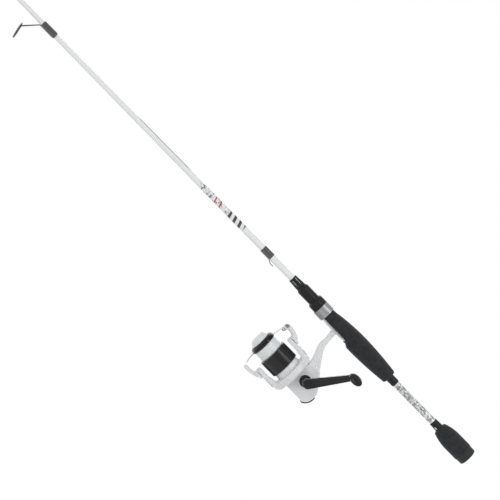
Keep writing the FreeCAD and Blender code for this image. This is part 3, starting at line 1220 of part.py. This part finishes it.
def make_crank_knob():
    """Paddle-shaped grip, broader across than along, bored for its spindle."""
    wide = val("knob_wide")
    thick = val("knob_thick")
    length = val("knob_length")
    out = val("crank_radius")
    grip = Part.makeBox(thick, length, wide, Vec(out - thick / 2, KNOB_START, -wide / 2))
    grip = grip.makeFillet(thick * 0.36, grip.Edges)
    up = Vec(0, 1, 0)
    grip.rotate(Vec(out, 0, 0), up, val("knob_turn"))
    bore = Part.makeCylinder(val("spindle_radius + run_gap"), 60, Vec(out, KNOB_START - 1, 0), up)
    recess = Part.makeCylinder(val("spindle_radius + 1.3"), 4, Vec(out, KNOB_START + length - 2.3, 0), up)
    return on_crank(grip.cut(bore).cut(recess))


feature("crank_knob", make_crank_knob())

# ---------------------------------------------------------------- check and write
doc.recompute()
failed = [thing.Label for thing in doc.Objects if set(thing.State) & {"Invalid", "Error"}]
for thing in SUBPARTS:
    if thing.Shape.isNull() or not thing.Shape.isValid() or not thing.Shape.Solids:
        failed.append(thing.Label)
if failed:
    raise RuntimeError("failed objects: " + ", ".join(failed))
for thing in SUBPARTS:
    thing.Shape.exportStep(f"parts/{thing.Label}.step")
    box = thing.Shape.BoundBox
    print(f"{thing.Label:24s} {len(thing.Shape.Solids)} solid(s) {thing.Shape.Volume:10.1f} mm3  "
          f"x {box.XMin:7.1f} {box.XMax:7.1f}  y {box.YMin:6.1f} {box.YMax:6.1f}  z {box.ZMin:7.1f} {box.ZMax:7.1f}")
print(len(SUBPARTS), "sub-parts")
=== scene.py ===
# %% [markdown]
# # A spinning rod and its reel
# The CAD model already has every piece at its place and size. Here each piece gets the finish of
# the real one, and the cast and moulded pieces whose soft edges the CAD leaves sharp get a new shape.
# Work is in metres, and the rod lies along X with the reel below it.

# %% Load the frame
import json
import math
import bpy
from mathutils import Matrix, Vector


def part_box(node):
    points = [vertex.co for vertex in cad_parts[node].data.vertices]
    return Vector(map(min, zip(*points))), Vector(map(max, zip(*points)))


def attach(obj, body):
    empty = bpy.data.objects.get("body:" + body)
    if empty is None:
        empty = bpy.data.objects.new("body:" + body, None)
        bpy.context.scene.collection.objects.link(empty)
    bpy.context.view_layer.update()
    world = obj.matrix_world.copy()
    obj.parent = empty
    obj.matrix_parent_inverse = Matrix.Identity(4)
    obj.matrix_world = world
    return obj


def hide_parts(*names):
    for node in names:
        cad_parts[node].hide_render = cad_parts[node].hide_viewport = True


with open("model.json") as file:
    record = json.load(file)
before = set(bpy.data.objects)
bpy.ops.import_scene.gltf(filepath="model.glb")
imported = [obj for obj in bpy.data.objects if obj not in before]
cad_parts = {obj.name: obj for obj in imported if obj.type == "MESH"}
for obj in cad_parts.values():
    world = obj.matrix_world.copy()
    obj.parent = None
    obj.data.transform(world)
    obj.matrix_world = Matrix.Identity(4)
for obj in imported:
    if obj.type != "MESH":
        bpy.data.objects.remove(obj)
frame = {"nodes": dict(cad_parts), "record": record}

MM = 0.001
NODES = frame["nodes"]
BODY_OF = {n: b for b, names in frame["record"]["behaviour"]["bodies"].items() for n in names}
SLOT_OF = {part["node"]: part["material_slot"] for part in frame["record"]["subparts"]}
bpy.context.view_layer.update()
print("nodes", len(NODES))

# %% [markdown]
# ## The view
# A shop picture of something nearly two metres long is taken from far away with a long lens, so the
# rod doesn't taper with distance. A perspective camera five metres off with a long lens gives that,
# and rolling it by 45 degrees lays the rod across the picture.

# %% Camera
AIM = Vector((398, 0, -13.8)) * MM
DISTANCE = 5.0
WIDTH_SEEN = 0.650
ROLL = math.radians(45.59)
TURN = math.radians(7)

away = Vector((math.sin(TURN), math.cos(TURN), 0))
along = (Vector((-1, 0, 0)) + away * away.x).normalized()
up = Vector((0, 0, 1))
right = along * math.cos(ROLL) + up * math.sin(ROLL)
upward = up * math.cos(ROLL) - along * math.sin(ROLL)
camera_data = bpy.data.cameras.new("camera")
camera_data.sensor_width = 36
camera_data.lens = 36 * DISTANCE / WIDTH_SEEN
camera_data.clip_end = 60
camera = bpy.data.objects.new("camera", camera_data)
bpy.context.scene.collection.objects.link(camera)
turned = Matrix((right, upward, right.cross(upward))).transposed().to_4x4()
camera.matrix_world = Matrix.Translation(AIM + away * DISTANCE) @ turned
bpy.context.scene.camera = camera
print("lens", round(camera_data.lens), "mm")

# %% [markdown]
# ## Nodes and colours
# A material is a small graph. One function adds a node and fills its sockets, with a number, a colour
# or a link, and one turns the colours of a paint chart into the linear values that the shader works in.

# %% Two helpers for materials
def linear(hex_colour):
    parts = [int(hex_colour[i:i + 2], 16) / 255 for i in (1, 3, 5)]
    return [p / 12.92 if p <= 0.04045 else ((p + 0.055) / 1.055) ** 2.4 for p in parts] + [1.0]


def add_node(tree, kind, sockets=None, **settings):
    node = tree.nodes.new(kind)
    for name, value in settings.items():
        setattr(node, name, value)
    for key, value in (sockets or {}).items():
        if isinstance(value, bpy.types.NodeSocket):
            tree.links.new(value, node.inputs[key])
        else:
            node.inputs[key].default_value = value
    return node


def new_finish(name, colour, roughness, ior=1.5, **more):
    """A material with its shader ready, and the object's own coordinates in metres."""
    finish = bpy.data.materials.new(name)
    finish.use_nodes = True
    tree = finish.node_tree
    tree.nodes.clear()
    shader = add_node(tree, "ShaderNodeBsdfPrincipled", {
        "Base Color": linear(colour) if isinstance(colour, str) else colour,
        "Roughness": roughness, "IOR": ior, **{k.replace("_", " "): v for k, v in more.items()}})
    output = add_node(tree, "ShaderNodeOutputMaterial", {"Surface": shader.outputs[0]})
    output.location = (300, 0)
    place = add_node(tree, "ShaderNodeTexCoord").outputs["Object"]
    return finish, tree, shader, place


def colour_between(tree, share, low, high):
    """Two chart colours mixed by a share."""
    return add_node(tree, "ShaderNodeMix", {0: share, 6: linear(low) if isinstance(low, str) else low,
                                            7: linear(high)}, data_type="RGBA").outputs[2]


def relief(tree, shader, height, depth_mm, strength=1.0):
    """A height from 0 to 1, drawn as a bump of that depth."""
    bump = add_node(tree, "ShaderNodeBump", {"Height": height, "Distance": depth_mm * MM, "Strength": strength})
    tree.links.new(bump.outputs[0], shader.inputs["Normal"])


def grain(tree, place, size_mm, detail=2.0, stretch=(1, 1, 1)):
    """Noise whose blobs are about size_mm across."""
    scaled = add_node(tree, "ShaderNodeMapping", {"Vector": place, "Scale": [s / (size_mm * MM) for s in stretch]})
    return add_node(tree, "ShaderNodeTexNoise", {"Vector": scaled.outputs[0], "Scale": 1.0, "Detail": detail,
                                                 "Roughness": 0.5}).outputs[0]


def spread(tree, value, low, high, to_low=0.0, to_high=1.0):
    """The part of a value between low and high, stretched to a new range."""
    return add_node(tree, "ShaderNodeMapRange", {"Value": value, "From Min": low, "From Max": high,
                                                 "To Min": to_low, "To Max": to_high}).outputs[0]


def times(tree, a, b, operation="MULTIPLY"):
    return add_node(tree, "ShaderNodeMath", {0: a, 1: b}, operation=operation).outputs[0]


FINISH = {}

# %% [markdown]
# ## The painted blank
# The blank is a graphite and glass tube under gloss enamel. Its print is a thin second coat, so it
# changes the colour only. The bands are worked out from the distance along the rod and the angle
# round it, in millimetres, which keeps them in place without an image.

# %% Painted blank
PRINT_REAR = (69, 136)
PRINT_BARS = (424, 452)
PRINT_FLECKS = (452, 506)
PRINT_LINE = (528, 622)


def within(tree, distance, first, last, soft=2.0):
    """1 between two distances along the rod, 0 outside, with soft ends."""
    rise = spread(tree, distance, (first - soft) * MM, (first + soft) * MM)
    fall = spread(tree, distance, (last + soft) * MM, (last - soft) * MM)
    return times(tree, rise, fall)


finish, tree, shader, place = new_finish("blank enamel", "#eceded", 0.22, 1.5, Coat_Weight=0.5,
                                         Coat_Roughness=0.08)
split = add_node(tree, "ShaderNodeSeparateXYZ", {0: place})
distance, side, height = split.outputs[0], split.outputs[1], split.outputs[2]
angle = add_node(tree, "ShaderNodeMath", {0: side, 1: height}, operation="ARCTAN2").outputs[0]
mottle = grain(tree, place, 2.6, 4.0, (0.7, 1, 1))
fine = grain(tree, place, 0.9, 2.0, (0.5, 1, 1))
rear_mark = times(tree, within(tree, distance, *PRINT_REAR, 3), spread(tree, mottle, 0.47, 0.53))
rear_dark = times(tree, within(tree, distance, *PRINT_REAR, 3), spread(tree, fine, 0.58, 0.62))
turn_mm = add_node(tree, "ShaderNodeMath", {0: distance, 1: 2 * math.pi / (9.0 * MM), 2: angle},
                   operation="MULTIPLY_ADD").outputs[0]
wave = add_node(tree, "ShaderNodeMath", {0: turn_mm}, operation="SINE").outputs[0]
bars = times(tree, within(tree, distance, *PRINT_BARS, 1), spread(tree, wave, 0.05, 0.15))
red = times(tree, within(tree, distance, 461, 479, 1), spread(tree, wave, 0.72, 0.78))
flecks = times(tree, within(tree, distance, *PRINT_FLECKS, 6), spread(tree, mottle, 0.55, 0.58))
on_top = spread(tree, add_node(tree, "ShaderNodeMath", {0: angle}, operation="ABSOLUTE").outputs[0], 0.75, 0.65)
line = times(tree, within(tree, distance, *PRINT_LINE, 4), on_top)
paint = colour_between(tree, rear_mark, "#eceded", "#8f9192")
paint = colour_between(tree, rear_dark, paint, "#55585a")
paint = colour_between(tree, flecks, paint, "#77797b")
paint = colour_between(tree, bars, paint, "#1b1c1e")
paint = colour_between(tree, red, paint, "#b3202a")
paint = colour_between(tree, line, paint, "#4a4d50")
tree.links.new(paint, shader.inputs["Base Color"])
relief(tree, shader, grain(tree, place, 6.0), 0.02, 0.4)
FINISH["blank_enamel"] = finish
print("print on the blank", PRINT_REAR, PRINT_BARS, PRINT_FLECKS, PRINT_LINE, "mm")

# %% [markdown]
# ## Foam and rubber
# The grips are EVA, a closed-cell foam turned on a lathe and sanded. Sanding opens the outermost
# cells, which makes the surface matt and slightly mottled. Real cells are a tenth of a millimetre,
# too fine to show, so they are drawn three times as coarse. The cap is moulded rubber, a little
# smoother and darker.

# %% EVA foam and rubber
CELL_MM = 0.35
for slot_name, name, low, high, cell, depth, rough in (
        ("eva_foam", "sanded EVA foam", "#17191c", "#25282c", CELL_MM, 0.09, 0.88),
        ("cap_rubber", "moulded rubber", "#111214", "#1c1e20", 0.6, 0.05, 0.7)):
    finish, tree, shader, place = new_finish(name, low, rough, 1.45, Sheen_Weight=0.08, Sheen_Roughness=0.5)
    cells = add_node(tree, "ShaderNodeTexVoronoi", {"Vector": place, "Scale": 1 / (cell * 2 * MM)}).outputs[0]
    cloud = spread(tree, grain(tree, place, 5.0, 3.0), 0.35, 0.65)
    tree.links.new(colour_between(tree, cloud, low, high), shader.inputs["Base Color"])
    relief(tree, shader, cells, depth, 0.8)
    FINISH[slot_name] = finish
    print(name, "cells drawn", cell, "mm")

# %% [markdown]
# ## Moulded plastics
# Black trim, spool and handle are glass-filled nylon with a gloss face. A moulding is never quite
# flat: it has a faint orange peel, and edges that hands rub go a little brighter, which Pointiness
# would need a dense mesh for, so the roughness varies in soft patches instead.

# %% Moulded black and white parts
for slot_name, name, colour, rough, peel, gloss in (
        ("black_trim", "black moulded nylon", "#101113", 0.36, 0.03, 0.22),
        ("spool_black", "black anodised spool", "#08080a", 0.17, 0.02, 0.3),
        ("handle_black", "gloss black handle", "#08090a", 0.2, 0.03, 0.3),
        ("reel_white", "white epoxy enamel", "#e6e7e8", 0.26, 0.03, 0.5),
        ("gear_nylon", "natural acetal", "#e3dfd2", 0.4, 0.04, 0.5)):
    finish, tree, shader, place = new_finish(name, colour, rough, 1.5, Specular_IOR_Level=gloss)
    patches = grain(tree, place, 7.0, 3.0)
    tree.links.new(spread(tree, patches, 0.3, 0.7, rough * 0.85, rough * 1.25), shader.inputs["Roughness"])
    relief(tree, shader, grain(tree, place, 0.9, 1.0), peel, 0.35)
    FINISH[slot_name] = finish
    print(name, colour, "roughness", rough)

# %% [markdown]
# ## Metals
# Each metal has its own base colour and is fully metallic. A turned or brushed part has fine marks
# that run round the rod, so the noise is squeezed along X and long round it. Gears are cast zinc and
# cut brass with a dull grain.

# %% Metals
for slot_name, name, colour, rough, mark_mm, stretch, depth in (
        ("hood_steel", "satin nickel", "#8b8c8e", 0.32, 3.0, (14, 1, 1), 0.012),
        ("guide_steel", "black chromed steel", "#4b4d50", 0.24, 1.6, (1, 1, 1), 0.008),
        ("fastener_steel", "zinc plated steel", "#a9abad", 0.3, 1.2, (1, 1, 1), 0.01),
        ("bearing_steel", "ground bearing steel", "#c4c6c8", 0.18, 2.0, (1, 6, 1), 0.006),
        ("gear_brass", "cut brass", "#c39a4e", 0.33, 1.4, (1, 1, 5), 0.012),
        ("gear_zinc", "die-cast zinc", "#96989b", 0.45, 0.8, (1, 1, 1), 0.03),
        ("bail_chrome", "polished stainless wire", "#b9bbbd", 0.16, 1.8, (1, 1, 1), 0.006)):
    finish, tree, shader, place = new_finish(name, colour, rough, Metallic=1.0)
    marks = grain(tree, place, mark_mm, 3.0, stretch)
    tree.links.new(spread(tree, marks, 0.3, 0.7, rough * 0.75, rough * 1.35), shader.inputs["Roughness"])
    relief(tree, shader, marks, depth, 0.5)
    FINISH[slot_name] = finish
    print(name, colour, "roughness", rough)

# %% [markdown]
# ## Thread, line, ceramic and felt
# Guides are bound on with nylon thread, wound edge to edge and flooded with clear epoxy: the thread
# gives fine rings and the epoxy a deep gloss, so the rings are a bump under a clear coat. The line on
# the spool is wound the same way and lets light in. The guide ring is pressed and polished alumina.

# %% Wound and pressed materials
THREAD_MM = 0.22
LINE_MM = 0.28
for slot_name, name, colour, rough, pitch, depth, more in (
        ("thread_wrap", "epoxied thread", "#0b0c0d", 0.35, THREAD_MM * 2, 0.05,
         {"Coat_Weight": 1.0, "Coat_Roughness": 0.04}),
        ("line_mono", "wound nylon line", "#dfe3e4", 0.3, LINE_MM * 2, 0.12,
         {"Subsurface_Weight": 0.25, "Subsurface_Scale": 0.002, "Coat_Weight": 0.2})):
    finish, tree, shader, place = new_finish(name, colour, rough, 1.53, **more)
    rings = add_node(tree, "ShaderNodeTexWave", {"Vector": place, "Scale": 1 / (20 * pitch * MM) * 2,
                                                 "Distortion": 0.6, "Detail": 1.0, "Detail Scale": 4.0},
                     wave_type="BANDS", bands_direction="X").outputs[1]
    relief(tree, shader, rings, depth, 0.7)
    FINISH[slot_name] = finish
    print(name, "rings every", round(pitch, 2), "mm")

finish, tree, shader, place = new_finish("pressed alumina", "#23252a", 0.1, 1.76)
tree.links.new(spread(tree, grain(tree, place, 2.0), 0.3, 0.7, 0.07, 0.14), shader.inputs["Roughness"])
FINISH["ring_ceramic"] = finish
finish, tree, shader, place = new_finish("oiled felt", "#6d6a60", 0.95, 1.4, Sheen_Weight=0.4)
fibres = grain(tree, place, 0.4, 4.0)
tree.links.new(colour_between(tree, fibres, "#57544b", "#837f73"), shader.inputs["Base Color"])
relief(tree, shader, fibres, 0.15)
FINISH["drag_felt"] = finish

# %% Give every CAD node its finish
for name, node in NODES.items():
    node.data.materials.clear()
    node.data.materials.append(FINISH[SLOT_OF[name]])
print("finished", len(NODES), "nodes with", len(FINISH), "materials")

# %% [markdown]
# ## Castings with soft edges
# The body, rotor and bail arms are cast in a mould, and every edge of a casting is rounded so that it
# leaves the mould and takes paint. Bevelling a shape with so many crossing edges by hand is slow. A
# voxel remesh of a merged copy gives even small faces, and smoothing them rounds each edge by about
# two voxels while flat faces stay flat.

# %% Round the castings
def select_only(piece):
    bpy.ops.object.select_all(action="DESELECT")
    piece.select_set(True)
    bpy.context.view_layer.objects.active = piece


def apply_modifier(piece, kind, **settings):
    select_only(piece)
    modifier = piece.modifiers.new(kind, kind)
    for key, value in settings.items():
        setattr(modifier, key, value)
    bpy.ops.object.modifier_apply(modifier=modifier.name)


def stand_in(piece, *nodes):
    """The piece takes the place, the body and the finish of its CAD nodes."""
    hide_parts(*nodes)
    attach(piece, BODY_OF[nodes[0]])
    if not piece.data.materials:
        piece.data.materials.append(FINISH[SLOT_OF[nodes[0]]])
    print(piece.name, "stands for", nodes, len(piece.data.polygons), "faces")


def soft_copy(node_name, name, voxel_mm, rounds):
    mesh = NODES[node_name].data.copy()
    piece = bpy.data.objects.new(name, mesh)
    bpy.context.scene.collection.objects.link(piece)
    select_only(piece)
    bpy.ops.object.mode_set(mode="EDIT")
    bpy.ops.mesh.select_all(action="SELECT")
    bpy.ops.mesh.remove_doubles(threshold=0.002 * MM)
    bpy.ops.object.mode_set(mode="OBJECT")
    apply_modifier(piece, "REMESH", mode="VOXEL", voxel_size=voxel_mm * MM)
    apply_modifier(piece, "SMOOTH", factor=0.5, iterations=rounds)
    select_only(piece)
    bpy.ops.object.shade_smooth()
    stand_in(piece, node_name)
    return piece


for node_name, name, voxel_mm, rounds in (("reel_body", "body_casting", 0.6, 12),
                                          ("side_cover", "side_plate", 0.5, 4),
                                          ("rotor", "rotor_casting", 0.5, 5),
                                          ("arm_covers", "arm_cover_mouldings", 0.35, 5),
                                          ("bail_arm", "bail_arm_casting", 0.3, 9),
                                          ("bail_holder", "bail_holder_casting", 0.3, 9)):
    soft_copy(node_name, name, voxel_mm, rounds)

# %% [markdown]
# ## Crank
# The crank is a die-cast bar: a round eye over the shank, a long taper with two grooves that save
# metal, and a flat round end for the knob's spindle. It is one cylinder, half of whose side is
# extruded twice, first up the slope and then along the flat end.

# %% Crank bar
low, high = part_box("crank_arm")
hub_low, hub_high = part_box("handle_hub")
knob_low, knob_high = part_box("crank_knob")
HANDLE_AT = Vector((226, 0, -81.8)) * MM
spindle_at = (knob_low + knob_high) / 2
out_way = Vector((spindle_at.x - HANDLE_AT.x, 0, spindle_at.z - HANDLE_AT.z))
REACH = out_way.length
out_way.normalize()
BAR_THICK = 5.4 * MM
EYE_RADIUS = 6.6 * MM
END_SHARE = 0.66
RISE = 11 * MM
ROOT_Y = 45 * MM
across_way = out_way.cross(Vector((0, 1, 0)))
on_crank = Matrix((out_way, Vector((0, 1, 0)), across_way)).transposed().to_4x4()
on_crank = Matrix.Translation(Vector((HANDLE_AT.x, 0, HANDLE_AT.z))) @ on_crank


def new_cylinder(name, radius, depth, place, turn=(math.pi / 2, 0, 0), sides=48):
    bpy.ops.object.select_all(action="DESELECT")
    bpy.ops.mesh.primitive_cylinder_add(vertices=sides, radius=radius, depth=depth, location=place, rotation=turn)
    piece = bpy.context.object
    piece.name = name
    bpy.ops.object.transform_apply(location=True, rotation=True, scale=True)
    return piece


def pick_faces(piece, test):
    """Go into edit mode with only the faces that pass the test selected."""
    select_only(piece)
    bpy.ops.object.mode_set(mode="EDIT")
    bpy.ops.mesh.select_mode(type="FACE")
    bpy.ops.mesh.select_all(action="DESELECT")
    bpy.ops.object.mode_set(mode="OBJECT")
    picked = 0
    for face in piece.data.polygons:
        face.select = bool(test(face))
        picked += face.select
    bpy.ops.object.mode_set(mode="EDIT")
    return picked


def extrude_by(step):
    bpy.ops.mesh.extrude_region_move(TRANSFORM_OT_translate={"value": step})


def leave_edit():
    bpy.ops.object.mode_set(mode="OBJECT")


def finish_piece(piece, bevel_mm, segments, place=None):
    """Round the edges, close seams, face outwards and put the shape in the row frame."""
    select_only(piece)
    bpy.ops.object.mode_set(mode="EDIT")
    bpy.ops.mesh.select_all(action="SELECT")
    bpy.ops.mesh.remove_doubles(threshold=0.001 * MM)
    bpy.ops.mesh.normals_make_consistent(inside=False)
    leave_edit()
    if bevel_mm:
        apply_modifier(piece, "BEVEL", width=bevel_mm * MM, segments=segments, limit_method="ANGLE",
                       angle_limit=math.radians(35))
    if place is not None:
        piece.matrix_world = place
        select_only(piece)
        bpy.ops.object.transform_apply(location=True, rotation=True, scale=True)
    select_only(piece)
    bpy.ops.object.shade_smooth_by_angle(angle=math.radians(40))


bar = new_cylinder("crank_bar", EYE_RADIUS, BAR_THICK, (0, ROOT_Y, 0))
pick_faces(bar, lambda f: f.normal.x > 0.02 and abs(f.normal.y) < 0.5)
extrude_by((REACH - 9 * MM, RISE, 0))
bpy.ops.transform.resize(value=(END_SHARE, 1, END_SHARE), center_override=(REACH - 9 * MM, ROOT_Y + RISE, 0))
extrude_by((9 * MM, 0, 0))
leave_edit()
GROOVE_DEPTH = 0.8 * MM
picked = pick_faces(bar, lambda f: f.normal.y > 0.5 and 6 * MM < f.center.x < REACH - 9 * MM
                    and 1.0 * MM < abs(f.center.z) < 3.4 * MM)
extrude_by((0, -GROOVE_DEPTH, 0))
leave_edit()
print("sloping faces grooved", picked)
finish_piece(bar, 0.5, 3, on_crank)
stand_in(bar, "crank_arm")

# %% Shank and its dust ring
shank_low = hub_low.y
shank = new_cylinder("handle_shank", 8.2 * MM, 3.6 * MM, (0, shank_low + 1.8 * MM, 0))
pick_faces(shank, lambda f: f.normal.y > 0.5)
bpy.ops.mesh.inset(thickness=1.4 * MM)
extrude_by((0, 1.2 * MM, 0))
bpy.ops.mesh.inset(thickness=1.6 * MM)
extrude_by((0, ROOT_Y - BAR_THICK / 2 - shank_low - 4.8 * MM, 0))
leave_edit()
finish_piece(shank, 0.4, 3, Matrix.Translation((HANDLE_AT.x, 0, HANDLE_AT.z)))
stand_in(shank, "handle_hub")

# %% [markdown]
# ## Knob
# The knob is a soft paddle that fingers pinch: oval across, wider at its outer end, waisted by the
# crank. A low-sided cylinder is squeezed ring by ring, and subdivision turns it into one smooth form.

# %% Knob
knob_long = knob_high.y - knob_low.y
knob = new_cylinder("crank_paddle", 5.0 * MM, 2 * MM, (0, knob_low.y + 1 * MM, 0), sides=16)
for share, half_thick, half_wide in ((0.12, 4.8, 6.4), (0.4, 5.8, 9.0), (0.75, 6.6, 10.4), (0.95, 6.4, 10.2),
                                     (1.0, 5.2, 8.8)):
    pick_faces(knob, lambda f: f.normal.y > 0.5)
    top = max(v.co.y for v in knob.data.vertices)
    width = max(v.co.z for v in knob.data.vertices if v.co.y > top - MM * 0.01)
    thick = max(v.co.x for v in knob.data.vertices if v.co.y > top - MM * 0.01)
    step = knob_low.y + share * knob_long - top
    extrude_by((0, step, 0))
    bpy.ops.transform.resize(value=(half_thick * MM / thick, 1, half_wide * MM / width),
                             center_override=(0, top + step, 0))
    leave_edit()
pick_faces(knob, lambda f: f.normal.y > 0.9 and f.center.y > knob_high.y - MM)
bpy.ops.mesh.inset(thickness=2.2 * MM)
extrude_by((0, -0.6 * MM, 0))
leave_edit()
apply_modifier(knob, "SUBSURF", levels=2, render_levels=2)
KNOB_TURN = math.radians(35)
turn = Matrix.Rotation(KNOB_TURN, 4, "Y")
finish_piece(knob, 0, 1, Matrix.Translation(out_way * REACH) @ on_crank @ turn)
stand_in(knob, "crank_knob")

# %% [markdown]
# ## Studio
# A pale floor well below, big soft lamps and an even grey room light the object plainly. The room and
# the floor are pure white only to the camera and to reflections, by Light Path.

# %% Room, lamps and floor
scene = bpy.context.scene
scene.view_settings.view_transform = "Standard"
ROOM_LIGHT = 0.5
room = bpy.data.worlds.new("room")
scene.world = room
room.use_nodes = True
tree = room.node_tree
tree.nodes.clear()
path = add_node(tree, "ShaderNodeLightPath")
seen = times(tree, times(tree, path.outputs["Is Camera Ray"], path.outputs["Is Glossy Ray"], "MAXIMUM"),
             path.outputs["Is Transmission Ray"], "MAXIMUM")
strength = spread(tree, seen, 0, 1, ROOM_LIGHT, 1.0)
light = add_node(tree, "ShaderNodeBackground", {"Color": (1, 1, 1, 1), "Strength": strength})
add_node(tree, "ShaderNodeOutputWorld", {"Surface": light.outputs[0]})

for name, offset, size, watts in (("key", (-1.4, 2.2, 2.2), 1.6, 36), ("fill", (2.0, 2.4, 0.2), 2.0, 14),
                                  ("back", (0.4, -2.6, 1.4), 2.0, 18)):
    lamp_data = bpy.data.lights.new(name, "AREA")
    lamp_data.size = size
    lamp_data.energy = watts
    lamp = bpy.data.objects.new(name, lamp_data)
    scene.collection.objects.link(lamp)
    lamp.location = AIM + Vector(offset)
    lamp.rotation_euler = (-Vector(offset)).to_track_quat("-Z", "Y").to_euler()

FLOOR_Z = -0.55
bpy.ops.mesh.primitive_plane_add(size=6, location=(0.9, 0, FLOOR_Z))
floor = bpy.context.object
floor.name = "floor"
finish, tree, shader, place = new_finish("pale floor", "#f4f4f4", 0.9)
path = add_node(tree, "ShaderNodeLightPath")
seen = times(tree, times(tree, path.outputs["Is Camera Ray"], path.outputs["Is Glossy Ray"], "MAXIMUM"),
             path.outputs["Is Transmission Ray"], "MAXIMUM")
glow = add_node(tree, "ShaderNodeEmission", {"Color": (1, 1, 1, 1), "Strength": times(tree, seen, 0.6)})
both = add_node(tree, "ShaderNodeAddShader", {0: shader.outputs[0], 1: glow.outputs[0]})
output = next(n for n in tree.nodes if n.type == "OUTPUT_MATERIAL")
tree.links.new(both.outputs[0], output.inputs[0])
floor.data.materials.append(finish)
